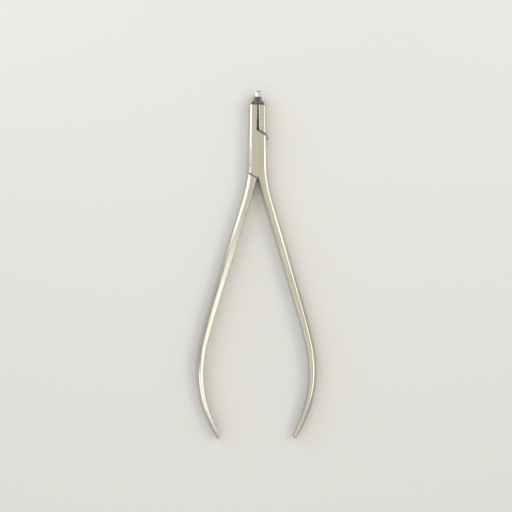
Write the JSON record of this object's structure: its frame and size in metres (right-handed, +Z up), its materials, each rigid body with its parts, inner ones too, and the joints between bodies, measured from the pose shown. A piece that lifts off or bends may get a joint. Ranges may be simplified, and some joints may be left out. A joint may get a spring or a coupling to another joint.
{
  "type": "orthodontic pliers",
  "caption": "Long-handled distal end cutter for orthodontic wire: narrow jaws with a short raised nose of hard inserts, a lap joint and slim bowed handles.",
  "frame": {"origin": "on the joint's axis, in the plane of the rear faces that the tool rests on", "axes": "+X across the jaws to the right seen from the front, +Y from the joint to the jaw tips, +Z up through the joint to the front face"},
  "size_m": [0.052, 0.1501, 0.0074],
  "materials": {
    "satin_steel": "fine satin, edges brighter",
    "screw_steel": "turned",
    "carbide": "fine ground, bright",
    "silver_braze": "dull",
    "spring_steel": "smooth"
  },
  "bodies": {
    "front": {"front_half": "satin_steel", "joint_screw": "screw_steel", "left_insert": "carbide", "left_braze": "silver_braze"},
    "rear": {"rear_half": "satin_steel", "right_insert": "carbide", "right_braze": "silver_braze"},
    "hold": {"hold_spring": "spring_steel"}
  },
  "joints": [
    {"name": "jaw_pivot", "type": "hinge", "parent": "front", "child": "rear", "pos_m": [0, 0, 0.0032], "axis": [0, 0, -1], "range_deg": [0, 22]},
    {"name": "hold_flex", "type": "hinge", "parent": "front", "child": "hold", "pos_m": [-0.0005, 0.0175, 0.0032], "axis": [0, 0, 1], "range_deg": [0, 1], "stiffness_Nm_per_rad": 0.0005, "springref_deg": -2.86}
  ]
}
